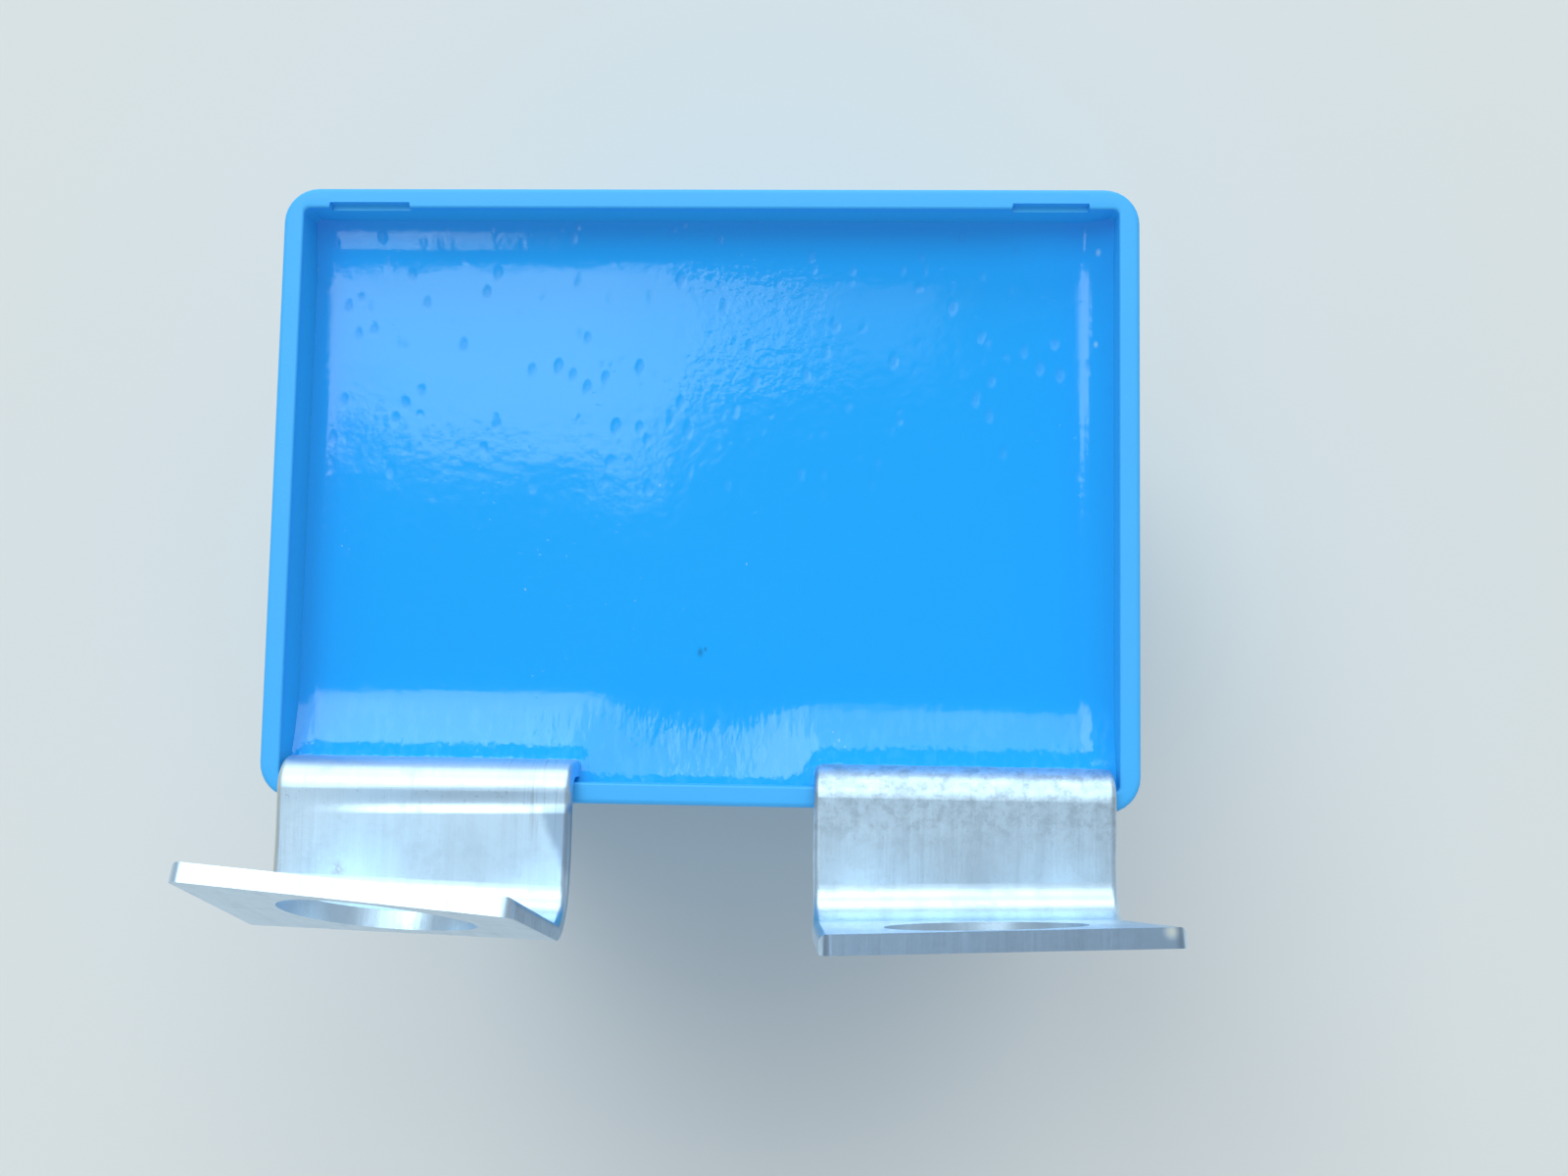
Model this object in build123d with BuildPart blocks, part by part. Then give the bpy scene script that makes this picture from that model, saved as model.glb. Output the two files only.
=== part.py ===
"""Snubber film capacitor: a potted box case with two joggled screw lugs.

Millimetres. +Z points from the closed end to the filled end, X runs along the long walls,
and the origin is the centre of the closed end's flat face. The lugs leave over the -Y wall.
"""
import os
from math import cos, radians, sin, tan

from build123d import *

os.makedirs("parts", exist_ok=True)

# Case: a moulded cup, closed below and open above, its cavity drawn in with depth
case_length = 42.0
case_width = 30.0
case_height = 45.0
wall = 1.0
case_floor = 1.5
case_corner = 1.7
rim_round = 0.25
base_round = 0.8
inner_lip = 0.2
cavity_corner = 0.2
cavity_draw_in = 0.25
floor_bevel = 0.7

# Nicks in the inner edge of the far rim
nick_inset = 3.2
nick_width = 3.8
nick_depth = 0.25
nick_drop = 0.5

# Resin surface: flat in the middle, climbing to the walls on one large radius, and furthest in the corners
resin_below_rim = 2.6
resin_climb = 2.0
meniscus_reach = 2.8
meniscus_radius = 6.8
meniscus_headroom = 1.0

# Lug strip: stamped from sheet, its long edges rolled over on the side the punch entered
strip_width = 14.0
strip_thickness = 0.8
edge_roll = 0.3
inner_fold = 0.7
outer_fold = 1.5
lug_wall_gap = 0.25
lug_end_gap = 0.3
lug_rim_gap = 0.4
wing_height = 8.0
wing_reach = 8.2
wing_above_middle = 2.5

# Wound element: a flattened roll that lies along X, clear of the walls, the floor and the lugs
roll_above_floor = 1.5
roll_below_resin = 4.4
roll_far_gap = 2.3
roll_lug_gap = 0.4
wrap_thickness = 0.3
spray_thickness = 0.6
solder_thickness = 0.5
solder_corner = 1.0
solder_margin = 0.9

# Lug beyond the rim: a short kink turns the strap, then it folds up into the plate. The blank is the same
# length on both sides, so a lug that reaches further has a shorter plate
kink_from_wall = 1.0
kink_length = 1.2
reach_and_plate = 18.4
plate_straight = 0.3
plate_corner = 0.5
plate_margin = 0.8
hole_radius = 4.2

# How far each lug reaches beyond the wall, how far its hole is off the middle,
# and how it was bent out of line, in degrees
right_reach = 5.3
right_hole_shift = 0
right_turn = 1.6
right_lean = 4.3
right_skew = 3.0
right_twist = 0.9
left_reach = 6.0
left_hole_shift = 0.3
left_turn = -1.6
left_lean = 13.7
left_skew = 0.5
left_twist = -3.1

# Places worked out from the sizes above
cavity_length = case_length - 2 * wall
cavity_width = case_width - 2 * wall
resin_level = case_height - resin_below_rim
inner_mid_radius = inner_fold + strip_thickness / 2
outer_mid_radius = outer_fold + strip_thickness / 2
strip_edge = cavity_length / 2 - lug_end_gap
strip_middle = strip_edge - strip_width / 2
riser_y = -(cavity_width / 2 - lug_wall_gap - strip_thickness / 2)
strap_z = case_height + lug_rim_gap + strip_thickness / 2
roll_near = riser_y + strip_thickness / 2 + roll_lug_gap + wrap_thickness
roll_far = cavity_width / 2 - roll_far_gap - wrap_thickness
roll_low = case_floor + roll_above_floor + wrap_thickness
roll_high = resin_level - roll_below_resin - wrap_thickness
roll_y = (roll_near + roll_far) / 2
roll_z = (roll_low + roll_high) / 2
wing_x = strip_edge - strip_thickness / 2
wing_end = riser_y + wing_reach
wing_top = roll_z + wing_above_middle + wing_height / 2
spray_face = wing_x - strip_thickness / 2 - solder_thickness
roll_end = spray_face - spray_thickness


def roll_outline(growth=0.0, mode=Mode.ADD):
    """The flattened roll's end view, grown outwards by some thickness."""
    height = roll_high - roll_low + 2 * growth
    depth = roll_far - roll_near + 2 * growth
    with Locations((roll_y, roll_z)):
        SlotOverall(height, depth, rotation=90, mode=mode)


def strip_section(plane):
    """The strip's cross-section on a plane square to its run, with the rolled edges on local +Y."""
    with BuildSketch(plane) as section:
        Rectangle(strip_width, strip_thickness)
        fillet(section.vertices().group_by(Axis.Y)[-1], radius=edge_roll)
    return section.sketch


def wing_outline(side):
    """The tail from above: the strip's foot and the wing folded round to the end contact."""
    with BuildSketch(Plane.XY.offset(wing_top)) as outline:
        with BuildLine():
            FilletPolyline(
                (side * (strip_edge - strip_width), riser_y),
                (side * wing_x, riser_y),
                (side * wing_x, wing_end),
                radius=inner_mid_radius,
            )
        trace(line_width=strip_thickness)
    return outline.sketch


def build_lug(side, reach, hole_shift, turn, lean, skew, twist):
    """One lug: wing, riser, strap, fold and plate, each meeting the next on the strip's own section."""
    centre = side * strip_middle
    outward = Vector(0, -1, 0).rotate(Axis.Z, turn)
    along = Vector(1, 0, 0).rotate(Axis.Z, turn)
    rise = Vector(0, 0, 1) * cos(radians(lean)) - outward * sin(radians(lean))
    kink_y = -(case_width / 2 + kink_from_wall)
    foot = Plane(origin=(centre, riser_y, wing_top), x_dir=(1, 0, 0), z_dir=(0, 0, 1))
    kink = Plane(origin=(centre, kink_y, strap_z), x_dir=(1, 0, 0), z_dir=(0, -1, 0))
    turned = Plane(origin=(centre, kink_y - kink_length, strap_z), x_dir=along, z_dir=outward)
    corner = turned.origin + outward * (reach - kink_from_wall - kink_length)
    base_run = outer_mid_radius * tan(radians(90 + lean) / 2) + plate_straight
    face_offset = strip_thickness / 2 * (1 + sin(radians(lean))) / cos(radians(lean))
    tip_run = reach_and_plate - reach + face_offset
    hole_run = tip_run - plate_margin - hole_radius

    def plate_plane(run):
        """The plane square to the plate, at a distance up it from the fold's corner."""
        risen = run - base_run
        turned_here = twist * risen / (tip_run - base_run)
        origin = corner + rise * run + along * (risen * tan(radians(skew)))
        return Plane(origin=origin, x_dir=along.rotate(Axis((0, 0, 0), rise), turned_here), z_dir=rise)

    def face_plane(run):
        """The plane in the plate at that distance, looking out of its outer face."""
        square = plate_plane(run)
        return Plane(origin=square.origin, x_dir=square.x_dir, z_dir=-square.y_dir)

    with BuildPart() as lug:
        extrude(wing_outline(side), amount=-wing_height)
        with BuildLine() as riser:
            FilletPolyline(foot.origin, (centre, riser_y, strap_z), kink.origin, radius=inner_mid_radius)
        sweep(strip_section(foot), path=riser.line)
        loft([strip_section(kink), strip_section(turned)], ruled=True)
        with BuildLine() as fold:
            FilletPolyline(turned.origin, corner, plate_plane(base_run).origin, radius=outer_mid_radius)
        sweep(strip_section(turned), path=fold.line)
        loft([strip_section(plate_plane(base_run)), strip_section(plate_plane(tip_run))], ruled=True)
        with BuildSketch(face_plane(hole_run)):
            with Locations((hole_shift, 0)):
                Circle(hole_radius)
        extrude(amount=strip_thickness, both=True, mode=Mode.SUBTRACT)
        with BuildSketch(face_plane(tip_run)):
            for end in (-1, 1):
                with Locations((end * strip_width / 2, 0)):
                    Rectangle(2 * plate_corner, 2 * plate_corner)
                with Locations((end * (strip_width / 2 - plate_corner), -plate_corner)):
                    Circle(plate_corner, mode=Mode.SUBTRACT)
        extrude(amount=strip_thickness, both=True, mode=Mode.SUBTRACT)
    return lug


cavity_levels = (
    (case_floor, cavity_draw_in + floor_bevel),
    (case_floor + floor_bevel, cavity_draw_in),
    (case_height - inner_lip, 0),
    (case_height, -inner_lip),
)
with BuildPart() as cavity:
    for height, inset in cavity_levels:
        with BuildSketch(Plane.XY.offset(height)) as outline:
            Rectangle(cavity_length - 2 * inset, cavity_width - 2 * inset)
            chamfer(outline.vertices(), length=cavity_corner)
    loft(ruled=True)

with BuildPart() as case:
    with BuildSketch():
        RectangleRounded(case_length, case_width, case_corner)
    extrude(amount=case_height)
    fillet(case.edges().group_by(Axis.Z)[0], radius=base_round)
    fillet(case.edges().group_by(Axis.Z)[-1], radius=rim_round)
    add(cavity.part, mode=Mode.SUBTRACT)
    nick_x = cavity_length / 2 - nick_inset
    with Locations((-nick_x, cavity_width / 2, case_height), (nick_x, cavity_width / 2, case_height)):
        Box(nick_width, 2 * nick_depth, 2 * nick_drop, mode=Mode.SUBTRACT)
case.part.label = "case"

with BuildPart() as winding:
    with BuildSketch(Plane.YZ):
        roll_outline()
    extrude(amount=roll_end, both=True)
winding.part.label = "winding"

with BuildPart() as outer_wrap:
    with BuildSketch(Plane.YZ):
        roll_outline(wrap_thickness)
        roll_outline(mode=Mode.SUBTRACT)
    extrude(amount=roll_end, both=True)
outer_wrap.part.label = "outer_wrap"

contacts = []
for side, name in ((-1, "left"), (1, "right")):
    with BuildPart() as end_spray:
        with BuildSketch(Plane.YZ.offset(side * roll_end)):
            roll_outline()
        extrude(amount=side * spray_thickness)
    end_spray.part.label = f"end_spray_{name}"

    pad_near = roll_near + solder_margin
    pad_far = wing_end - solder_margin
    with BuildPart() as solder:
        with BuildSketch(Plane.YZ.offset(side * spray_face)):
            with Locations(((pad_near + pad_far) / 2, wing_top - wing_height / 2)):
                RectangleRounded(pad_far - pad_near, wing_height - 2 * solder_margin, solder_corner)
        extrude(amount=side * solder_thickness)
    solder.part.label = f"solder_{name}"
    contacts += [end_spray, solder]

lug_left = build_lug(-1, left_reach, left_hole_shift, left_turn, left_lean, left_skew, left_twist)
lug_left.part.label = "lug_left"
lug_right = build_lug(1, right_reach, right_hole_shift, right_turn, right_lean, right_skew, right_twist)
lug_right.part.label = "lug_right"

with BuildPart() as meniscus:
    overhang = meniscus_radius - meniscus_reach
    with BuildSketch(Plane.XY.offset(resin_level)):
        Rectangle(cavity_length + 2 * overhang, cavity_width + 2 * overhang)
    extrude(amount=meniscus_radius + meniscus_headroom)
    upright = meniscus.edges().filter_by(Axis.Z)
    fillet(upright + meniscus.edges().group_by(Axis.Z)[0], radius=meniscus_radius)

embedded = [winding, outer_wrap, *contacts, lug_left, lug_right]
with BuildPart() as potting:
    add(cavity.part)
    split(bisect_by=Plane.XY.offset(resin_level + resin_climb), keep=Keep.BOTTOM)
    add(meniscus.part, mode=Mode.SUBTRACT)
    for piece in embedded:
        add(piece.part, mode=Mode.SUBTRACT)
potting.part.label = "potting"

for piece in [case, potting, *embedded]:
    export_step(piece.part, f"parts/{piece.part.label}.step")
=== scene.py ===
"""Looks of a potted box film capacitor with two joggled screw lugs.

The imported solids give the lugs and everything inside, and this script dresses them. It models
the moulded case with its soft lip, and the resin fill with the meniscus that creeps up the walls
and lugs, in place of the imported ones, and sets up the studio.
All lengths are metres in the part's own frame: +Z leaves the filled end, the lugs leave over -Y.
"""
from __future__ import annotations

import logging
import math
from contextlib import contextmanager
from dataclasses import dataclass, field
from enum import Enum
from typing import Any, Callable, Iterator

import bpy
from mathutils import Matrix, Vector


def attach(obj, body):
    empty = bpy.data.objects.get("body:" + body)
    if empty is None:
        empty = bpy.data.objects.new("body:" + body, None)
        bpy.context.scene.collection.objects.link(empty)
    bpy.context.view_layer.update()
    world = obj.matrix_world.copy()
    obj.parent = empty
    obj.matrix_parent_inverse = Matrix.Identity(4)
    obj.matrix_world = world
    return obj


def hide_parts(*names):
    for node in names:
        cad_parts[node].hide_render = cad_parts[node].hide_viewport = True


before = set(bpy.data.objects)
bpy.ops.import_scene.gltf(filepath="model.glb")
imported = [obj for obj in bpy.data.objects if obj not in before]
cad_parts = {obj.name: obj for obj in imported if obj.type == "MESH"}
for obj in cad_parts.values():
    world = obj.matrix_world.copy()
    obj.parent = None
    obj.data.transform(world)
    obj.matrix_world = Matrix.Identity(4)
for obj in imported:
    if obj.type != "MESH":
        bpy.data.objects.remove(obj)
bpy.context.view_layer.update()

LOG = logging.getLogger("capacitor")
MM = 0.001
HAIR = 0.01 * MM
RESIN_LEVEL = 42.4 * MM
BODY = "root"

Span = tuple[float, float]
Triple = tuple[float, float, float]
Colour = Triple


# ---------------------------------------------------------------- shader graphs
class Signal:
    """An output socket that can be used in plain arithmetic."""

    def __init__(self, graph: ShaderGraph, socket: bpy.types.NodeSocket) -> None:
        """Wraps one socket.

        Args:
            graph: the graph that the socket belongs to.
            socket: the node output that carries the value.
        """
        self.graph = graph
        self.socket = socket

    def _math(self, operation: str, *values: Any) -> Signal:
        """Adds a Math node that works on the given values and returns its result."""
        return self.graph.node("ShaderNodeMath", {"operation": operation}, dict(enumerate(values)))

    def __add__(self, other: Any) -> Signal:
        """self + other."""
        return self._math("ADD", self, other)

    __radd__ = __add__

    def __sub__(self, other: Any) -> Signal:
        """self - other."""
        return self._math("SUBTRACT", self, other)

    def __rsub__(self, other: Any) -> Signal:
        """other - self."""
        return self._math("SUBTRACT", other, self)

    def __mul__(self, other: Any) -> Signal:
        """self * other."""
        return self._math("MULTIPLY", self, other)

    __rmul__ = __mul__

    def __truediv__(self, other: Any) -> Signal:
        """self / other."""
        return self._math("DIVIDE", self, other)

    def above(self, low: float, high: float) -> Signal:
        """Runs smoothly from 0 at low to 1 at high, and the other way round if low is the larger."""
        settings = {"interpolation_type": "SMOOTHSTEP"}
        values = {"Value": self, "From Min": low, "From Max": high}
        return self.graph.node("ShaderNodeMapRange", settings, values)


class ShaderGraph:
    """A node material with one Principled shader, built up by method calls."""

    def __init__(self, name: str) -> None:
        """Makes an empty material of that name with its shader and output joined.

        Args:
            name: the finish's name.
        """
        self.material = bpy.data.materials.new(name)
        self.material.use_nodes = True
        self.tree = self.material.node_tree
        self.tree.nodes.clear()
        output = self.tree.nodes.new("ShaderNodeOutputMaterial")
        self.shader = self.tree.nodes.new("ShaderNodeBsdfPrincipled")
        self.tree.links.new(self.shader.outputs[0], output.inputs[0])

    def node(
        self,
        kind: str,
        settings: dict[str, Any] | None = None,
        inputs: dict[Any, Any] | None = None,
        output: Any = 0,
    ) -> Signal:
        """Adds a node, sets it up and joins its inputs.

        Args:
            kind: the node's type.
            settings: its own properties, set before the sockets.
            inputs: a value or a Signal for each input, by name or number.
            output: which output to return.

        Returns:
            The chosen output.
        """
        made = self.tree.nodes.new(kind)
        for name, value in (settings or {}).items():
            setattr(made, name, value)
        for key, value in (inputs or {}).items():
            self.feed(made.inputs[key], value)
        return Signal(self, made.outputs[output])

    def feed(self, socket: bpy.types.NodeSocket, value: Any) -> None:
        """Joins a Signal to a socket, or sets the socket to a plain value.

        Args:
            socket: the input to feed.
            value: a Signal, a number, or three numbers for a colour or a vector.
        """
        if isinstance(value, Signal):
            self.tree.links.new(value.socket, socket)
        elif isinstance(value, tuple) and len(value) == 3 and socket.type == "RGBA":
            socket.default_value = (*value, 1.0)
        else:
            socket.default_value = value

    def place(self, scale: Triple = (1, 1, 1), move: Triple = (0, 0, 0)) -> Signal:
        """Where a point lies on the part, in metres, moved and then stretched.

        Args:
            scale: the factor along each axis.
            move: what is taken from the place first.

        Returns:
            The place as a vector.
        """
        at = self.node("ShaderNodeTexCoord", output="Object")
        if scale == (1, 1, 1) and move == (0, 0, 0):
            return at
        shifted = self.node("ShaderNodeVectorMath", {"operation": "SUBTRACT"}, {0: at, 1: move})
        return self.node("ShaderNodeVectorMath", {"operation": "MULTIPLY"}, {0: shifted, 1: scale})

    def axes(self) -> tuple[Signal, Signal, Signal]:
        """The point's x, y and z, in metres."""
        split = self.node("ShaderNodeSeparateXYZ", inputs={0: self.place()})
        outputs = split.socket.node.outputs
        return Signal(self, outputs[0]), Signal(self, outputs[1]), Signal(self, outputs[2])

    def noise(
        self,
        size: float,
        detail: float = 2.0,
        roughness: float = 0.5,
        stretch: Triple = (1, 1, 1),
        distortion: float = 0.0,
    ) -> Signal:
        """Soft clouds, about 0.5 on average.

        Args:
            size: the width of one cloud, in metres.
            detail: how many finer layers there are.
            roughness: how strong the finer layers are.
            stretch: how much the pattern is pressed together along each axis.
            distortion: how much the clouds are twisted.

        Returns:
            The cloud value, from 0 to 1.
        """
        values = {
            "Vector": self.place(stretch),
            "Scale": 1 / size,
            "Detail": detail,
            "Roughness": roughness,
            "Distortion": distortion,
        }
        return self.node("ShaderNodeTexNoise", {"noise_dimensions": "3D"}, values)

    def cells(self, size: float, stretch: Triple = (1, 1, 1)) -> Signal:
        """The distance to the nearest of many scattered points, in cell widths."""
        values = {"Vector": self.place(stretch), "Scale": 1 / size}
        return self.node("ShaderNodeTexVoronoi", {"feature": "F1"}, values, "Distance")

    def mix(self, share: Any, first: Any, second: Any) -> Signal:
        """Blends two colours, from the first at share 0 to the second at share 1."""
        settings = {"data_type": "RGBA", "clamp_factor": True}
        return self.node("ShaderNodeMix", settings, {0: share, 6: first, 7: second}, 2)

    def near(self, centre: Triple, radius: Triple) -> Signal:
        """1 at a point and 0 outside an ellipsoid round it, with a soft edge.

        Args:
            centre: the point, in metres.
            radius: the ellipsoid's radius along each axis.

        Returns:
            The mask.
        """
        scale = tuple(1 / r for r in radius)
        offset = self.place(scale, centre)
        length = self.node("ShaderNodeVectorMath", {"operation": "LENGTH"}, {0: offset}, "Value")
        return length.above(1.0, 0.0)

    def bump(self, height: Signal, depth: float, below: Signal | None = None) -> Signal:
        """A bump laid over the plain surface or over another bump.

        Args:
            height: the relief, from 0 to 1.
            depth: the height of 1, in metres.
            below: the bump that it lies over.

        Returns:
            The new normal.
        """
        values: dict[Any, Any] = {"Height": height, "Distance": depth, "Strength": 1.0}
        if below is not None:
            values["Normal"] = below
        return self.node("ShaderNodeBump", {}, values)

    def dress(self, values: dict[str, Any]) -> bpy.types.Material:
        """Sets the shader's sockets and returns the finished material."""
        for name, value in values.items():
            self.feed(self.shader.inputs[name], value)
        return self.material


# ---------------------------------------------------------------- finishes
def dimmed(colour: Colour, share: float) -> Colour:
    """The colour with only a share of its brightness."""
    red, green, blue = colour
    return red * share, green * share, blue * share


@dataclass(frozen=True)
class MouldedPlastic:
    """The case: pale blue thermoplastic with a fine mould texture, a scuffed rim and walls painted
    lighter for bounce light.

    Each burr is a place across the part and a radius, in millimetres, on the line of the left nick.
    """

    # colour, below the rim, is lighter and greener than rim_colour: painted bounce light from the
    # resin on the walls.
    colour: Colour = (0.055, 0.54, 0.97)
    rim_colour: Colour = (0.062, 0.48, 1.0)
    scuff_colour: Colour = (0.25, 0.62, 1.0)
    burr_colour: Colour = (0.42, 0.78, 0.86)
    roughness: float = 0.42
    specular: float = 0.4
    rim_z: float = 44.6 * MM
    rim_blend: float = 0.3 * MM
    cloud_size: float = 9 * MM
    flow_size: float = 3.2 * MM
    flow_depth: float = 0.03 * MM
    grain_size: float = 0.16 * MM
    grain_depth: float = 0.008 * MM
    scuff_size: float = 0.5 * MM
    scuff_share: float = 0.18
    burrs: tuple[Span, ...] = ((-18.4, 0.32), (-17.9, 0.16), (-16.6, 0.5), (-15.4, 0.3))
    burr_share: float = 0.6
    burr_y: float = 14.12 * MM
    burr_z: float = 44.9 * MM
    burr_depth: float = 0.16 * MM
    burr_height: float = 0.3 * MM

    def material(self) -> bpy.types.Material:
        """Builds the node material."""
        graph = ShaderGraph("moulded_plastic")
        _, _, z = graph.axes()
        rim = z.above(self.rim_z - self.rim_blend, self.rim_z + self.rim_blend)
        clouds = graph.noise(self.cloud_size, 3, 0.55)
        flow = graph.noise(self.flow_size, 2, 0.5, stretch=(1, 1, 0.15))
        shade = graph.mix((clouds - 0.35) * 0.5, self.colour, dimmed(self.colour, 0.88))
        # The rim keeps the plastic's own tone; below it the colour carries painted bounce light.
        shade = graph.mix(rim, shade, self.rim_colour)
        for across, radius in self.burrs:
            size = (radius * MM, self.burr_depth, self.burr_height)
            burr = graph.near((across * MM, self.burr_y, self.burr_z), size)
            shade = graph.mix(burr * self.burr_share, shade, self.burr_colour)
        scuffs = graph.noise(self.scuff_size, 3, 0.7, stretch=(0.5, 1, 1)).above(0.62, 0.8)
        shade = graph.mix(scuffs * rim * self.scuff_share, shade, self.scuff_colour)
        relief = graph.bump(graph.noise(self.grain_size, 2, 0.6), self.grain_depth)
        relief = graph.bump(flow, self.flow_depth, below=relief)
        values = {
            "Base Color": shade,
            "Roughness": self.roughness + (clouds - 0.5) * 0.15 + scuffs * 0.1,
            "Normal": relief,
            "Specular IOR Level": self.specular,
        }
        return graph.dress(values)


@dataclass(frozen=True)
class CastResin:
    """The fill: opaque blue casting resin that set with a glossy, slightly pitted and rippled skin.

    Each speck is a place across and along the surface and a radius, in millimetres.
    """

    colour: Colour = (0.0, 0.41, 1.0)
    fleck_colour: Colour = (0.01, 0.44, 1.0)
    # Painted highlight: the lighter tint of the fingers along the crescent reflection near the near
    # wall.
    finger_glint: Colour = (0.06, 0.5, 1.0)
    # Darker tint in the pits: painted shade in the hollows.
    pit_shade: Colour = (0.0, 0.3, 0.85)
    pale_colour: Colour = (0.45, 0.75, 0.95)
    dark_colour: Colour = (0.0, 0.12, 0.35)
    roughness: float = 0.085
    cloud_size: float = 14 * MM
    fleck_size: float = 0.7 * MM
    swell_size: float = 2.2 * MM
    swell_depth: float = 0.014 * MM
    finger_size: float = 0.42 * MM
    finger_depth: float = 0.03 * MM
    finger_zone: Span = (-9.6 * MM, -11.1 * MM)
    peel_size: float = 0.5 * MM
    peel_depth: float = 0.0045 * MM
    mottle_left: Span = (-3 * MM, 0.0)
    mottle_right: Span = (9 * MM, 4 * MM)
    mottle_near: Span = (4 * MM, 6 * MM)
    pit_size: float = 1.15 * MM
    pit_patch: float = 1.9 * MM
    pit_depth: float = 0.014 * MM
    pit_zone: Span = (-1 * MM, 4 * MM)
    pore_size: float = 0.55 * MM
    pore_patch: float = 4.5 * MM
    pore_depth: float = 0.004 * MM
    speck_z: float = 42.6 * MM
    speck_height: float = 2 * MM
    pale_specks: tuple[Triple, ...] = (
        (19.3, 12.5, 0.17),
        (19.2, 7.9, 0.15),
        (6.8, -11.8, 0.08),
        (7.1, -12.1, 0.06),
        (6.5, -11.4, 0.05),
        (-8.9, -4.6, 0.07),
        (2.1, -3.2, 0.06),
        (-2.3, 0.7, 0.08),
    )
    dark_specks: tuple[Triple, ...] = ((-0.1, -7.6, 0.22), (0.15, -7.45, 0.12))

    def material(self) -> bpy.types.Material:
        """Builds the node material."""
        graph = ShaderGraph("cast_resin")
        x, y, _ = graph.axes()
        clouds = graph.noise(self.cloud_size, 2, 0.5)
        flecks = graph.noise(self.fleck_size, 3, 0.6)
        shade = graph.mix((clouds - 0.4) * 0.4, self.colour, dimmed(self.colour, 0.93))
        shade = graph.mix((flecks - 0.45) * 0.25, shade, self.fleck_colour)
        shade = self._speckled(graph, shade, self.pale_specks, self.pale_colour)
        shade = self._speckled(graph, shade, self.dark_specks, self.dark_colour)
        relief = graph.bump(graph.noise(self.swell_size, 2, 0.5), self.swell_depth)
        fingers = graph.noise(self.finger_size, 2, 0.5, stretch=(1, 0.3, 1))
        share = y.above(*self.finger_zone)
        # Painted highlight on the fingers where the crescent reflection lies; their relief, below, is
        # a bump.
        shade = graph.mix(fingers.above(0.45, 0.7) * share * 0.3, shade, self.finger_glint)
        relief = graph.bump(fingers * share, self.finger_depth, below=relief)
        mottled = x.above(*self.mottle_left) * x.above(*self.mottle_right) * y.above(*self.mottle_near)
        peel = graph.noise(self.peel_size, 2, 0.55)
        relief = graph.bump(peel * (mottled * 2.5 + 1), self.peel_depth, below=relief)
        pits = self._pits(graph, y)
        # Painted shade: the pits are tinted darker on top of their relief.
        shade = graph.mix(pits * 0.22, shade, self.pit_shade)
        relief = graph.bump(1 - pits, self.pit_depth, below=relief)
        relief = graph.bump(1 - self._pores(graph), self.pore_depth, below=relief)
        roughness = self.roughness + (flecks - 0.5) * 0.06 + pits * 0.2
        return graph.dress({"Base Color": shade, "Roughness": roughness, "Normal": relief})

    def _speckled(
        self, graph: ShaderGraph, shade: Signal, specks: tuple[Triple, ...], tint: Colour
    ) -> Signal:
        """Lays small specks of one tint over a colour.

        Args:
            graph: the graph that the nodes join.
            shade: the colour below.
            specks: the specks' places and radii.
            tint: their colour.

        Returns:
            The new colour.
        """
        for across, along, radius in specks:
            size = (radius * MM, radius * 1.6 * MM, self.speck_height)
            spot = graph.near((across * MM, along * MM, self.speck_z), size)
            shade = graph.mix(spot * 0.6, shade, tint)
        return shade

    def _pits(self, graph: ShaderGraph, y: Signal) -> Signal:
        """Where small pits lie: in patches, most of them towards the far wall.

        Args:
            graph: the graph that the nodes join.
            y: the place along the part's depth.

        Returns:
            The mask.
        """
        pits = graph.cells(self.pit_size, stretch=(1.25, 0.7, 1)).above(0.34, 0.08)
        patches = graph.noise(self.pit_patch, 1, 0.5).above(0.38, 0.56)
        return pits * patches * (y.above(*self.pit_zone) * 0.8 + 0.2)

    def _pores(self, graph: ShaderGraph) -> Signal:
        """Where the finest pinholes lie."""
        pores = graph.cells(self.pore_size).above(0.17, 0.05)
        return pores * graph.noise(self.pore_patch, 2, 0.5).above(0.45, 0.65)


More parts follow.
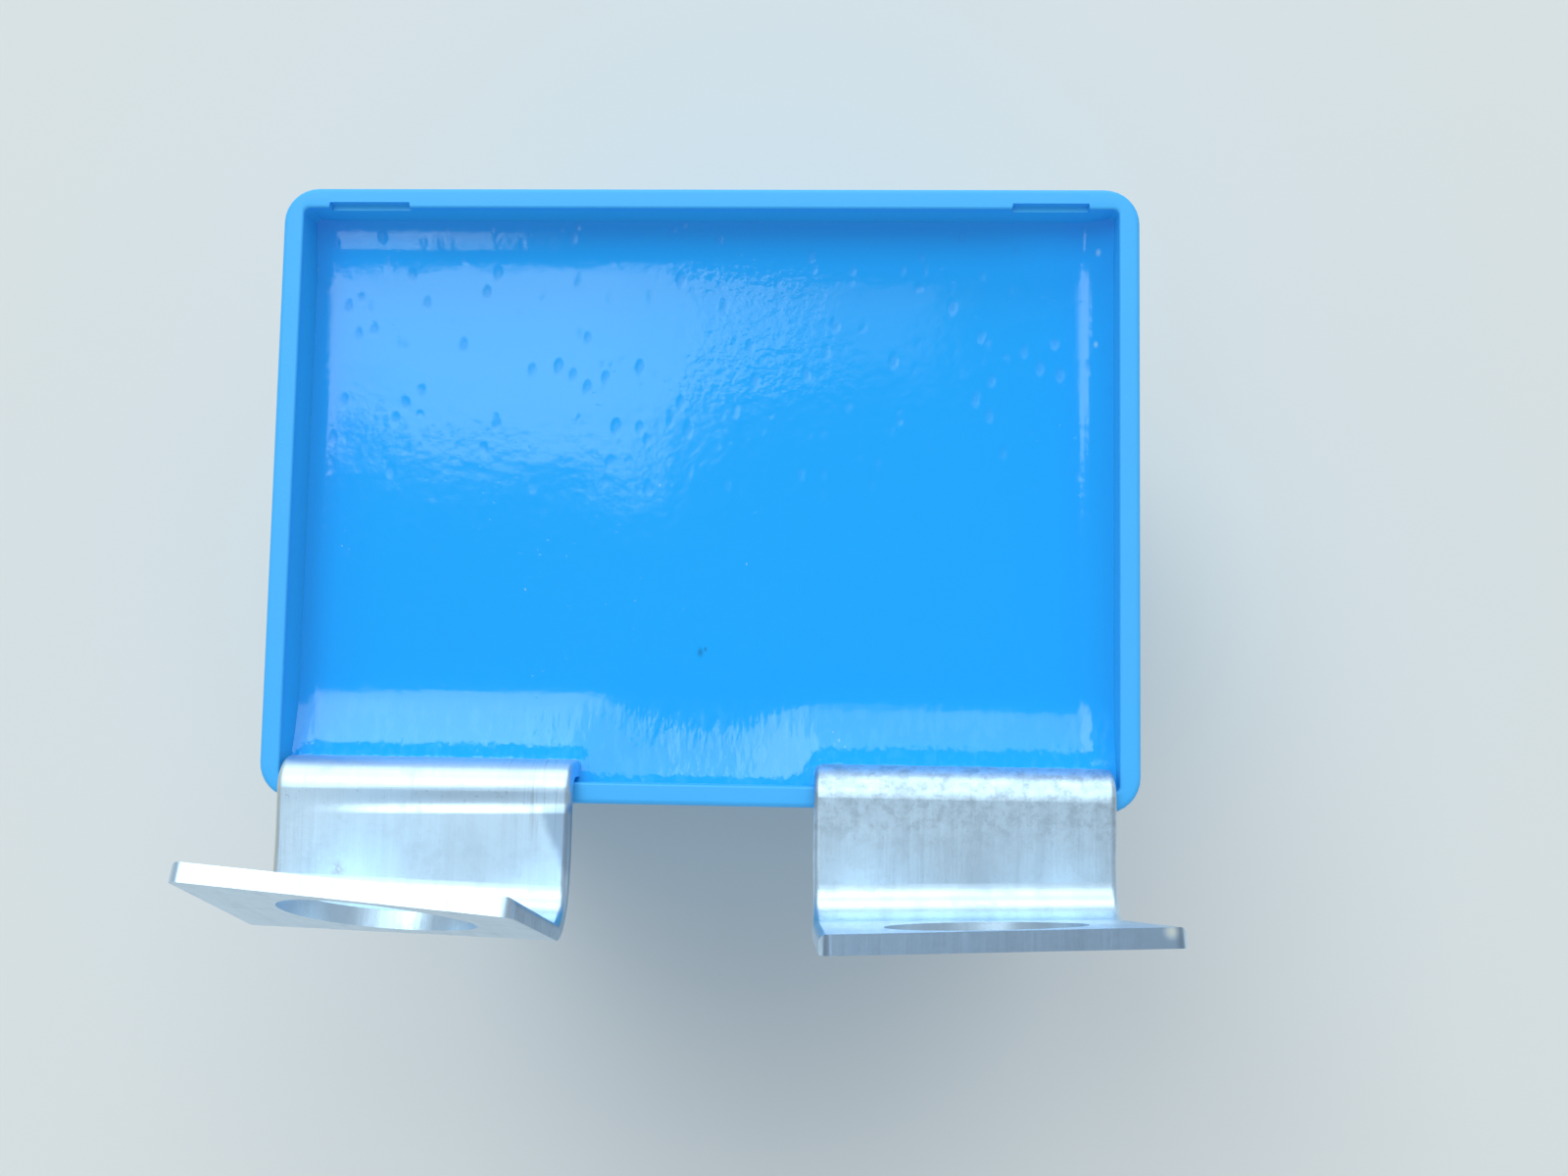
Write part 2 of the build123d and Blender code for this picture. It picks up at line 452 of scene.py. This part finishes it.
@dataclass(frozen=True)
class TinnedCopper:
    """The lugs: copper strip dipped in tin, with fine draw lines along the strip, dull smudges and
    painted shade in places.

    A zone is a pair of places, in metres, between which a mask runs from 0 to 1.
    """

    # The blue tint is painted light: it stands in for the cool cast of the daylight, as the tin itself
    # is grey.
    colour: Colour = (0.62, 0.78, 0.92)
    # Darker tin: real stains, and also the painted shade of the band under the first bend.
    stain_and_shade: Colour = (0.38, 0.47, 0.56)
    smudge: Colour = (0.36, 0.29, 0.27)
    # Dark blue-grey: painted shade on the left strap's curled edge and on the right lug's tip.
    painted_shade: Colour = (0.20, 0.29, 0.42)
    cream: Colour = (0.86, 0.80, 0.62)
    roughness: float = 0.36
    line_size: float = 0.16 * MM
    line_depth: float = 0.006 * MM
    band_size: float = 0.9 * MM
    band_depth: float = 0.012 * MM
    mottle_size: float = 1.3 * MM
    cloud_size: float = 0.6 * MM
    speck_size: float = 0.24 * MM
    speck_depth: float = 0.004 * MM
    crease_depth: float = 0.09 * MM
    left_zone: Span = (0.0, -1 * MM)
    right_zone: Span = (0.0, 1 * MM)
    # The band under the first bend, darkened as painted shade where the strap slopes away from the
    # light.
    shaded_band_outer: Span = (-14.3 * MM, -14.55 * MM)
    shaded_band_inner: Span = (-15.7 * MM, -14.7 * MM)
    streak_y: Span = (-17.2 * MM, -15.6 * MM)
    streak_x: Span = (-10 * MM, -7.5 * MM)
    dull_zone: Span = (-17.8 * MM, -14.4 * MM)
    bend_zone: Span = (-14.5 * MM, -14.1 * MM)
    cream_x: Span = (-19.4 * MM, -19.58 * MM)
    cream_z: Span = (46.4 * MM, 46.2 * MM)
    # Height above which the right lug's tip is painted dark as shade.
    tip_shade_zone: Span = (59.1 * MM, 59.22 * MM)
    tip_spot: Triple = (19.7 * MM, -18.75 * MM, 59.2 * MM)
    tip_radius: Triple = (0.45 * MM, 0.45 * MM, 0.6 * MM)
    smudge_spot: Triple = (-16.54 * MM, -18.22 * MM, 46.2 * MM)
    smudge_radius: Triple = (0.5 * MM, 0.55 * MM, 0.8 * MM)
    crease_y: float = -15.02 * MM
    left_edge_x: float = -5.7 * MM

    def material(self) -> bpy.types.Material:
        """Builds the node material."""
        graph = ShaderGraph("tinned_copper")
        x, y, z = graph.axes()
        left, right = x.above(*self.left_zone), x.above(*self.right_zone)
        lines = graph.noise(self.line_size, 3, 0.6, stretch=(1, 0.035, 0.035))
        bands = graph.noise(self.band_size, 2, 0.5, stretch=(1, 0.12, 0.12), distortion=0.4)
        mottle = graph.noise(self.mottle_size, 4, 0.65)
        specks = graph.noise(self.speck_size, 2, 0.6)
        shaded_band = y.above(*self.shaded_band_outer) * y.above(*self.shaded_band_inner)
        streaks = lines.above(0.5, 0.7) * left * y.above(*self.streak_y) * x.above(*self.streak_x)
        shade = graph.mix((lines - 0.4) * 0.45, self.colour, dimmed(self.colour, 0.8))
        # Less stain on the left lug (left * 0.1 and left * 0.14) is painted light: its flat tilts up
        # and catches more light; the bands and mottle are real stain.
        shade = graph.mix(bands.above(0.42, 0.7) * (0.22 - left * 0.1), shade, self.stain_and_shade)
        shade = graph.mix(mottle.above(0.46, 0.7) * (0.32 - left * 0.14), shade, self.stain_and_shade)
        dull = right * y.above(*self.dull_zone) * graph.noise(self.cloud_size, 4, 0.7).above(0.4, 0.7)
        shade = graph.mix(dull * 0.9, shade, self.stain_and_shade)
        shade = graph.mix(specks.above(0.6, 0.72) * (shaded_band * 0.4 + 0.12), shade, self.stain_and_shade)
        # shaded_band darkens the band under the first bend as painted shade; streaks adds darker
        # streaks on the left strap.
        shade = graph.mix(shaded_band * 0.3 + streaks * 0.5, shade, self.stain_and_shade)
        shade = self._marked(graph, shade, (x, y, z), right)
        relief = graph.bump(lines, self.line_depth)
        relief = graph.bump(bands, self.band_depth, below=relief)
        relief = graph.bump(specks, self.speck_depth, below=relief)
        relief = graph.bump(self._crease(x, y) * left, self.crease_depth, below=relief)
        roughness = self.roughness + (lines - 0.5) * 0.2 + mottle.above(0.5, 0.75) * 0.1
        roughness = roughness + shaded_band * 0.08 + y.above(*self.bend_zone) * 0.07
        values = {"Base Color": shade, "Roughness": roughness, "Metallic": 1.0, "Normal": relief}
        return graph.dress(values)

    def _marked(
        self, graph: ShaderGraph, shade: Signal, at: tuple[Signal, Signal, Signal], right: Signal
    ) -> Signal:
        """Lays the single marks over the tin: the smudge, painted shade on the left strap's curled
        edge and the right tip, and the cream spots.

        Args:
            graph: the graph that the nodes join.
            shade: the colour below.
            at: the point's x, y and z.
            right: the mask of the right lug.

        Returns:
            The new colour.
        """
        x, y, z = at
        spot = graph.near(self.smudge_spot, self.smudge_radius)
        ragged = graph.noise(0.3 * MM, 2, 0.6).above(0.3, 0.6)
        shade = graph.mix(spot * ragged * 0.6, shade, self.smudge)
        # Painted shade along the left strap's curled inner edge.
        shade = graph.mix(self._curl_shade(graph, x, y) * 0.6, shade, self.painted_shade)
        shade = graph.mix(x.above(*self.cream_x) * z.above(*self.cream_z) * 0.5, shade, self.cream)
        corner = graph.near(self.tip_spot, self.tip_radius)
        shade = graph.mix(corner * 0.6, shade, self.cream)
        # Painted shade on the right lug's tip; its cream corner is left out.
        return graph.mix(right * z.above(*self.tip_shade_zone) * 0.75 * (1 - corner), shade, self.painted_shade)

    def _crease(self, x: Signal, y: Signal) -> Signal:
        """The valley pressed into the left strap where it was bent over the rim's outer edge.

        Args:
            x: the place across the part.
            y: the place along its depth.

        Returns:
            The relief, lowest in the valley.
        """
        bowed = y - (x + 6 * MM) * 0.018
        fall = bowed.above(self.crease_y + 0.9 * MM, self.crease_y + 0.1 * MM)
        rise = bowed.above(self.crease_y + 0.1 * MM, self.crease_y - 0.45 * MM)
        return (rise - fall) * x.above(-19 * MM, -13 * MM)

    def _curl_shade(self, graph: ShaderGraph, x: Signal, y: Signal) -> Signal:
        """The painted shade along the left strap's inner edge, which curls down there, widest near the
        rim.

        Args:
            graph: the graph that the nodes join.
            x: the place across the part.
            y: the place along its depth.

        Returns:
            The mask.
        """
        width = y.above(-19 * MM, -15 * MM) * (1.25 * MM) + 0.15 * MM
        ragged = graph.noise(0.6 * MM, 2, 0.5) * (0.4 * MM)
        inside = (x - self.left_edge_x + width + ragged) / (0.6 * MM)
        strap = x.above(-5 * MM, -5.5 * MM) * y.above(-14.9 * MM, -15.3 * MM)
        return inside.above(0.0, 1.0) * strap


@dataclass(frozen=True)
class BuriedFinish:
    """A finish that the resin hides: a plain tint with grain of one size, dull or metallic."""

    name: str
    colour: Colour
    metallic: float
    roughness: float
    grain: float
    stretch: Triple = (1, 1, 1)

    def material(self) -> bpy.types.Material:
        """Builds the node material."""
        graph = ShaderGraph(self.name)
        grain = graph.noise(self.grain, 3, 0.6, stretch=self.stretch)
        values = {
            "Base Color": graph.mix(grain, dimmed(self.colour, 0.75), self.colour),
            "Roughness": self.roughness + (grain - 0.5) * 0.2,
            "Metallic": self.metallic,
            "Normal": graph.bump(grain, self.grain * 0.1),
        }
        return graph.dress(values)


# ---------------------------------------------------------------- modelling helpers
def select_only(piece: bpy.types.Object) -> None:
    """Makes one object the only selected and the active one."""
    bpy.ops.object.select_all(action="DESELECT")
    piece.select_set(True)
    bpy.context.view_layer.objects.active = piece


@contextmanager
def editing(piece: bpy.types.Object, test: Callable[[Vector], bool] | None = None) -> Iterator[None]:
    """Opens a mesh in edit mode, and goes back to object mode afterwards.

    Args:
        piece: the mesh object.
        test: says which vertices start selected, by their place; all of them if it isn't given.
    """
    select_only(piece)
    for part in (piece.data.polygons, piece.data.edges, piece.data.vertices):
        for element in part:
            element.select = False
    for vertex in piece.data.vertices:
        vertex.select = test is None or test(vertex.co)
    bpy.context.tool_settings.mesh_select_mode = (True, False, False)
    bpy.ops.object.mode_set(mode="EDIT")
    if test is None:
        bpy.ops.mesh.select_all(action="SELECT")
    yield
    bpy.ops.object.mode_set(mode="OBJECT")


def smooth(piece: bpy.types.Object, angle: float) -> None:
    """Shades a piece smooth, with flat faces kept flat.

    Args:
        piece: the mesh object.
        angle: the angle between two faces, in degrees, past which their edge stays sharp.
    """
    select_only(piece)
    bpy.ops.object.shade_smooth_by_angle(angle=math.radians(angle))
    modifier = piece.modifiers.new("flat_faces", "WEIGHTED_NORMAL")
    modifier.keep_sharp = True
    bpy.ops.object.modifier_apply(modifier=modifier.name)


def finish_piece(
    piece: bpy.types.Object, material: bpy.types.Material, node: str
) -> bpy.types.Object:
    """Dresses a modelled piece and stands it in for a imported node.

    Args:
        piece: the mesh object.
        material: its finish.
        node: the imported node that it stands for.

    Returns:
        The piece.
    """
    piece.data.materials.clear()
    piece.data.materials.append(material)
    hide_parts(node)
    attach(piece, BODY)
    LOG.info("%s stands for %s with %d faces", piece.name, node, len(piece.data.polygons))
    return piece


# ---------------------------------------------------------------- the part
@dataclass(frozen=True)
class PackedPieces:
    """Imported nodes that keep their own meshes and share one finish."""

    names: tuple[str, ...]
    finish: TinnedCopper | BuriedFinish

    def dress(self) -> None:
        """Gives the nodes the finish's material."""
        material = self.finish.material()
        for name in self.names:
            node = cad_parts[name]
            node.data.materials.clear()
            node.data.materials.append(material)
            LOG.info("dressed %s with %s", name, material.name)


PACKED: tuple[PackedPieces, ...] = (
    PackedPieces(("lug_left", "lug_right"), TinnedCopper()),
    PackedPieces(
        ("winding",),
        BuriedFinish("metallised_film", (0.62, 0.64, 0.66), 0.9, 0.25, 0.3 * MM, (0.05, 1, 1)),
    ),
    PackedPieces(
        ("outer_wrap",),
        BuriedFinish("plain_film", (0.75, 0.76, 0.72), 0.0, 0.2, 2.0 * MM),
    ),
    PackedPieces(
        ("end_spray_left", "end_spray_right"),
        BuriedFinish("sprayed_zinc", (0.45, 0.46, 0.48), 0.8, 0.65, 0.2 * MM),
    ),
    PackedPieces(
        ("solder_left", "solder_right"),
        BuriedFinish("solder", (0.66, 0.67, 0.70), 1.0, 0.35, 0.8 * MM),
    ),
)


@dataclass
class MouldedCase:
    """The open moulded box: rounded shell, soft inner lip, drawn-in cavity and nicks in the far lip.

    The lip is joined to the shell while it stands joint_lift too high, so that the two loops
    face each other.
    """

    size: Triple = (42 * MM, 30 * MM, 45 * MM)
    wall: float = 1.0 * MM
    corner: float = 1.7 * MM
    base_round: float = 0.8 * MM
    rim_round: float = 0.25 * MM
    lip_round: float = 0.12 * MM
    cavity_corner: float = 0.3 * MM
    cavity_floor: float = 1.5 * MM
    floor_bevel: float = 0.7 * MM
    draw_in: float = 0.25 * MM
    nicks: tuple[Span, ...] = ((-18.7 * MM, -14.75 * MM), (14.9 * MM, 18.55 * MM))
    nick_depth: float = 0.27 * MM
    nick_drop: float = 0.5 * MM
    joint_lift: float = 0.1 * MM
    arc_steps: int = 4
    corner_steps: int = 8
    smooth_angle: float = 35
    finish: MouldedPlastic = field(default_factory=MouldedPlastic)

    def build(self) -> bpy.types.Object:
        """Models the case.

        Returns:
            The finished piece.
        """
        piece = self._shell()
        cavity = self._cavity()
        select_only(piece)
        cavity.select_set(True)
        bpy.ops.object.join()
        with editing(piece):
            bpy.ops.mesh.select_all(action="DESELECT")
            bpy.ops.mesh.select_non_manifold()
            bpy.ops.mesh.bridge_edge_loops()
        with editing(piece, lambda at: at.z > self.size[2] + HAIR):
            bpy.ops.transform.translate(value=(0, 0, -self.joint_lift))
        for nick in self.nicks:
            self._nick(piece, nick)
        with editing(piece):
            bpy.ops.mesh.remove_doubles(threshold=HAIR / 4)
            bpy.ops.mesh.normals_make_consistent(inside=False)
        smooth(piece, self.smooth_angle)
        return finish_piece(piece, self.finish.material(), "case")

    def _block(
        self, name: str, inset: float, low: float, high: float, corner: float
    ) -> bpy.types.Object:
        """Adds an upright block with rounded upright edges.

        Args:
            name: the new object's name.
            inset: how far inside the case's outline it lies.
            low: the height of its lower face.
            high: the height of its upper face.
            corner: the radius of its upright edges.

        Returns:
            The block.
        """
        bpy.ops.object.select_all(action="DESELECT")
        bpy.ops.mesh.primitive_cube_add(size=1, location=(0, 0, (low + high) / 2))
        piece = bpy.context.active_object
        piece.name = piece.data.name = name
        piece.scale = (self.size[0] - 2 * inset, self.size[1] - 2 * inset, high - low)
        bpy.ops.object.transform_apply(location=True, rotation=True, scale=True)
        bpy.context.tool_settings.mesh_select_mode = (False, True, False)
        corners = piece.data.vertices
        for element in (*piece.data.polygons, *corners):
            element.select = False
        for edge in piece.data.edges:
            ends = [corners[i].co for i in edge.vertices]
            edge.select = abs(ends[0].z - ends[1].z) > HAIR
        bpy.ops.object.mode_set(mode="EDIT")
        bpy.ops.mesh.bevel(
            offset=corner, segments=self.corner_steps, profile=0.5, affect="EDGES"
        )
        bpy.ops.object.mode_set(mode="OBJECT")
        return piece

    def _arc(self, radius: float) -> list[Span]:
        """The steps of a quarter circle, from upright to flat: how far in and how far on each goes."""
        turns = [math.pi / 2 * k / self.arc_steps for k in range(self.arc_steps + 1)]
        return [
            (radius * (math.cos(a) - math.cos(b)), radius * (math.sin(b) - math.sin(a)))
            for a, b in zip(turns, turns[1:])
        ]

    def _shell(self) -> bpy.types.Object:
        """The outside: closed and rounded below, rounded and open above."""
        high = self.size[2] - self.rim_round
        piece = self._block("moulded_case", 0.0, self.base_round, high, self.corner)
        with editing(piece, lambda at: at.z < self.base_round + HAIR):
            for inward, onward in self._arc(self.base_round):
                bpy.ops.mesh.inset(thickness=inward, depth=onward)
        with editing(piece, lambda at: at.z > high - HAIR):
            for inward, onward in self._arc(self.rim_round):
                bpy.ops.mesh.inset(thickness=inward, depth=onward)
            bpy.ops.mesh.delete(type="ONLY_FACE")
        return piece

    def _draw_in(self, half: list[float], inward: float) -> None:
        """Draws the selected outline in, or out if inward is negative.

        Args:
            half: the outline's half sizes, which are brought up to date.
            inward: how far every side moves.
        """
        shrink = [1 - inward / side for side in half]
        bpy.ops.transform.resize(value=(*shrink, 1), center_override=(0, 0, 0))
        half[:] = [side - inward for side in half]

    def _step(self, half: list[float], inward: float, rise: float) -> None:
        """Extrudes the selected face by a height and draws its outline in."""
        bpy.ops.mesh.extrude_region_move(TRANSFORM_OT_translate={"value": (0, 0, rise)})
        self._draw_in(half, inward)

    def _cavity(self) -> bpy.types.Object:
        """The inside: a lip that rounds outwards, walls drawn in with depth, and a bevelled floor."""
        low, high = self.cavity_floor + self.floor_bevel, self.size[2] - self.lip_round
        piece = self._block("cavity", self.wall, low, high, self.cavity_corner)
        mouth = [side / 2 - self.wall for side in self.size[:2]]
        with editing(piece, lambda at: at.z > high - HAIR):
            half = list(mouth)
            for outward, onward in self._arc(self.lip_round):
                self._step(half, -outward, onward)
            bpy.ops.transform.translate(value=(0, 0, self.joint_lift))
            bpy.ops.mesh.delete(type="ONLY_FACE")
        with editing(piece, lambda at: at.z < low + HAIR):
            half = list(mouth)
            self._draw_in(half, self.draw_in)
            self._step(half, self.floor_bevel, -self.floor_bevel)
        return piece

    def _nick(self, piece: bpy.types.Object, nick: Span) -> None:
        """Pushes a nick into the far lip.

        Args:
            piece: the case.
            nick: the places along the lip between which the nick lies.
        """
        low, high = nick
        lip_y = self.size[1] / 2 - self.wall
        back = lip_y + self.nick_depth
        top = self.size[2]
        bottom = top - self.nick_drop
        for x in (low - 4 * HAIR, low, high, high + 4 * HAIR):
            self._cut(piece, (x, 0, 0), (1, 0, 0))
        self._cut(piece, (0, 0, bottom), (0, 0, 1))
        self._carve(piece, nick, (lip_y + self.lip_round - HAIR, top - HAIR), (back, top))
        self._carve(piece, nick, (lip_y - HAIR, bottom + 2 * HAIR), (back, bottom))

    def _cut(self, piece: bpy.types.Object, place: Triple, normal: Triple) -> None:
        """Cuts every face at a plane and takes nothing away."""
        with editing(piece):
            bpy.ops.mesh.bisect(plane_co=place, plane_no=normal, threshold=HAIR / 10)

    def _carve(self, piece: bpy.types.Object, nick: Span, over: Span, line: Span) -> None:
        """Flattens points of the lip onto one line of the nick.

        Args:
            piece: the case.
            nick: the places along the lip between which the points lie.
            over: the y and the z that the points lie beyond.
            line: the y and the z of the line.
        """
        low, high = nick
        outer = self.size[1] / 2 - self.wall + self.lip_round + HAIR

        def carved(at: Vector) -> bool:
            """Says whether a point is one that moves."""
            return low - HAIR < at.x < high + HAIR and over[0] < at.y < outer and at.z > over[1]

        with editing(piece, carved):
            bpy.ops.transform.resize(value=(1, 0, 0), center_override=(0, *line))


class Side(Enum):
    """The walls and lugs that the resin climbs, by the direction from the middle."""

    LEFT = (-1, 0)
    RIGHT = (1, 0)
    FAR = (0, 1)
    NEAR = (0, -1)
    LEFT_LUG = (-1, -1)
    RIGHT_LUG = (1, -1)


@dataclass(frozen=True)
class Creep:
    """How the resin climbs one wall: its height there and how far in it reaches."""

    side: Side
    height: float
    reach: float


@dataclass
class ResinFill:
    """The casting: flat in the middle, climbing the walls and the lugs round its edge."""

    half_length: float = 19.99 * MM
    half_width: float = 13.99 * MM
    level: float = RESIN_LEVEL
    bottom: float = 1.6 * MM
    draw_in: float = 0.25 * MM
    mesh_step: float = 0.25 * MM
    lug_middle: float = 12.7 * MM
    lug_half_width: float = 7.0 * MM
    lug_face: float = -12.95 * MM
    broad: tuple[Creep, ...] = (
        Creep(Side.LEFT, 0.04 * MM, 3.0 * MM),
        Creep(Side.RIGHT, 0.06 * MM, 2.6 * MM),
        Creep(Side.FAR, 0.30 * MM, 3.4 * MM),
        Creep(Side.NEAR, 0.54 * MM, 4.0 * MM),
        Creep(Side.LEFT_LUG, 0.55 * MM, 4.3 * MM),
        Creep(Side.RIGHT_LUG, 0.60 * MM, 3.8 * MM),
    )
    steep: tuple[Creep, ...] = (
        Creep(Side.LEFT, 0.20 * MM, 1.0 * MM),
        Creep(Side.RIGHT, 0.72 * MM, 1.75 * MM),
        Creep(Side.FAR, 0.20 * MM, 1.9 * MM),
        Creep(Side.NEAR, 0.14 * MM, 1.1 * MM),
        Creep(Side.LEFT_LUG, 0.06 * MM, 1.1 * MM),
        Creep(Side.RIGHT_LUG, 0.03 * MM, 1.1 * MM),
    )
    settling: int = 30
    smooth_angle: float = 40
    finish: CastResin = field(default_factory=CastResin)

    def build(self) -> bpy.types.Object:
        """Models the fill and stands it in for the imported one.

        Returns:
            The finished piece.
        """
        piece = self._pour()
        for creep in self.broad:
            self._climb(piece, creep)
        self._settle(piece)
        for creep in self.steep:
            self._climb(piece, creep)
        self._close(piece)
        select_only(piece)
        bpy.ops.object.shade_smooth_by_angle(angle=math.radians(self.smooth_angle))
        return finish_piece(piece, self.finish.material(), "potting")

    def _pour(self) -> bpy.types.Object:
        """Lays the still surface as a fine grid."""
        bpy.ops.object.select_all(action="DESELECT")
        bpy.ops.mesh.primitive_grid_add(
            x_subdivisions=round(2 * self.half_length / self.mesh_step),
            y_subdivisions=round(2 * self.half_width / self.mesh_step),
            size=2 * self.half_length,
            location=(0, 0, self.level),
        )
        piece = bpy.context.active_object
        piece.name = piece.data.name = "resin_fill"
        piece.scale = (1, self.half_width / self.half_length, 1)
        bpy.ops.object.transform_apply(location=True, rotation=True, scale=True)
        return piece

    def _touches(self, place: Vector, side: Side) -> bool:
        """Says whether a point of the surface lies against a wall, or against or behind a lug.

        Args:
            place: the point.
            side: the wall or lug.

        Returns:
            True where it does.
        """
        slack = self.mesh_step / 2
        across, along = side.value
        if across and along:
            beside = abs(place.x * across - self.lug_middle) < self.lug_half_width
            return beside and place.y < self.lug_face + slack
        if across:
            return place.x * across > self.half_length - slack
        return place.y * along > self.half_width - slack

    def _climb(self, piece: bpy.types.Object, creep: Creep) -> None:
        """Lifts the surface at one wall, and less and less of what lies inside it.

        Args:
            piece: the fill.
            creep: the wall, the height and the reach.
        """
        with editing(piece, lambda place: self._touches(place, creep.side)):
            bpy.ops.transform.translate(
                value=(0, 0, creep.height),
                use_proportional_edit=True,
                proportional_edit_falloff="SHARP",
                proportional_size=creep.reach,
            )

    def _settle(self, piece: bpy.types.Object) -> None:
        """Evens out the surface where two slopes meet, as surface tension does."""
        with editing(piece, lambda place: not any(self._touches(place, side) for side in Side)):
            bpy.ops.mesh.vertices_smooth(factor=0.5, repeat=self.settling, xaxis=False, yaxis=False)

    def _close(self, piece: bpy.types.Object) -> None:
        """Draws the edge down to the case's floor and closes it there."""
        with editing(piece):
            bpy.ops.mesh.select_all(action="DESELECT")
            bpy.ops.mesh.select_non_manifold()
            bpy.ops.mesh.extrude_region_move()
            shrink = [1 - self.draw_in / half for half in (self.half_length, self.half_width)]
            bpy.ops.transform.resize(value=(*shrink, 0), center_override=(0, 0, self.bottom))
            bpy.ops.mesh.edge_face_add()
            bpy.ops.mesh.select_all(action="SELECT")
            bpy.ops.mesh.normals_make_consistent(inside=False)


# ---------------------------------------------------------------- studio
@dataclass(frozen=True)
class SoftBox:
    """A rectangular studio lamp that hangs level, over or beside the part.

    across and along hold the angles off the vertical, in degrees, between which the middle of the
    resin sees it. height is how far it hangs above the resin.
    """

    name: str
    across: Span
    along: Span
    radiance: float
    height: float = 2.0
    colour: Colour = (0.86, 0.98, 1.0)

    def hang(self) -> None:
        """Hangs the lamp where its angles say."""
        lows = [self._offset(angle) for angle in (self.across[0], self.along[0])]
        highs = [self._offset(angle) for angle in (self.across[1], self.along[1])]
        size = [high - low for low, high in zip(lows, highs)]
        middle = [(low + high) / 2 for low, high in zip(lows, highs)]
        data = bpy.data.lights.new(self.name, "AREA")
        data.shape = "RECTANGLE"
        data.size, data.size_y = size
        data.energy = self.radiance * math.pi * size[0] * size[1]
        data.color = self.colour
        lamp = bpy.data.objects.new(self.name, data)
        lamp.visible_camera = False
        lamp.location = (*middle, self.height + RESIN_LEVEL)
        bpy.context.scene.collection.objects.link(lamp)

    def _offset(self, angle: float) -> float:
        """How far off the vertical a ray at that angle, in degrees, meets the lamp's level."""
        return math.tan(math.radians(angle)) * self.height


@dataclass
class Studio:
    """Floor, lamps, background and camera."""

    eye: Triple = (7.778 * MM, -11.592 * MM, 122.834 * MM)
    turn: Triple = (5.136, 2.698, 0.754)
    lens: float = 37.61
    sensor: float = 36.0
    clip: Span = (0.005, 20.0)
    floor_half: float = 2.0
    floor_colour: Colour = (0.80, 0.78, 0.76)
    world_strength: float = 0.53
    air: Colour = (0.86, 0.94, 1.0)
    lamps: tuple[SoftBox, ...] = (
        SoftBox("window_left", (-27, -17.1), (11.7, 17), 3.1),
        SoftBox("window_low", (-17.1, -9.2), (9.8, 17), 3.1),
        SoftBox("window_spike", (-9.2, -7.3), (8.6, 17), 2.8),
        SoftBox("window_step", (-7.3, -5.6), (10.8, 17), 2.6),
        SoftBox("window_fade", (-5.6, -2.4), (12.4, 17), 2.0),
        SoftBox("window_last", (-2.4, 3), (12.9, 17), 0.8),
        SoftBox("window_high", (-34, -8.9), (17, 42), 3.6),
        SoftBox("window_far", (-8.9, 30), (17, 42), 1.8),
        SoftBox("horizon", (-60, 50), (54, 82), 2.3, height=3.5),
        SoftBox("fill", (-50, 50), (-80, -58), 0.5, height=3.5),
        SoftBox("lamp_left", (-17.8, -16.5), (-15, -1), 2.8),
        SoftBox("lamp_middle", (-16.1, -14.9), (-15, -1), 3.6),
        SoftBox("lamp_right", (-14.2, -12.9), (-15, -1), 2.6),
    )

    def build(self) -> None:
        """Sets up everything that isn't the part."""
        self._floor()
        self._world()
        for lamp in self.lamps:
            lamp.hang()
        self._camera()
        bpy.context.scene.view_settings.view_transform = "Standard"

    def _floor(self) -> None:
        """A pale table top that the part stands on."""
        bpy.ops.object.select_all(action="DESELECT")
        bpy.ops.mesh.primitive_plane_add(size=2 * self.floor_half, location=(0, 0, -HAIR))
        floor = bpy.context.active_object
        floor.name = "studio_floor"
        paper = ShaderGraph("studio_paper")
        values = {"Base Color": self.floor_colour, "Roughness": 0.9}
        floor.data.materials.append(paper.dress(values))

    def _world(self) -> None:
        """Even light from all round."""
        world = bpy.data.worlds.new("studio_air")
        world.use_nodes = True
        background = world.node_tree.nodes["Background"]
        background.inputs["Color"].default_value = (*self.air, 1.0)
        background.inputs["Strength"].default_value = self.world_strength
        bpy.context.scene.world = world

    def _camera(self) -> None:
        """The camera looks down into the open end, as the photograph does."""
        data = bpy.data.cameras.new("eye")
        data.lens = self.lens
        data.sensor_width = self.sensor
        data.clip_start, data.clip_end = self.clip
        camera = bpy.data.objects.new("eye", data)
        camera.rotation_mode = "ZYX"
        camera.location = self.eye
        camera.rotation_euler = tuple(math.radians(a) for a in self.turn)
        bpy.context.scene.collection.objects.link(camera)
        bpy.context.scene.camera = camera


def main() -> None:
    """Builds the part's looks and the studio, and reports each piece."""
    logging.basicConfig(level=logging.INFO, format="%(name)s: %(message)s")
    MouldedCase().build()
    ResinFill().build()
    for pieces in PACKED:
        pieces.dress()
    Studio().build()


if __name__ == "__main__":
    main()
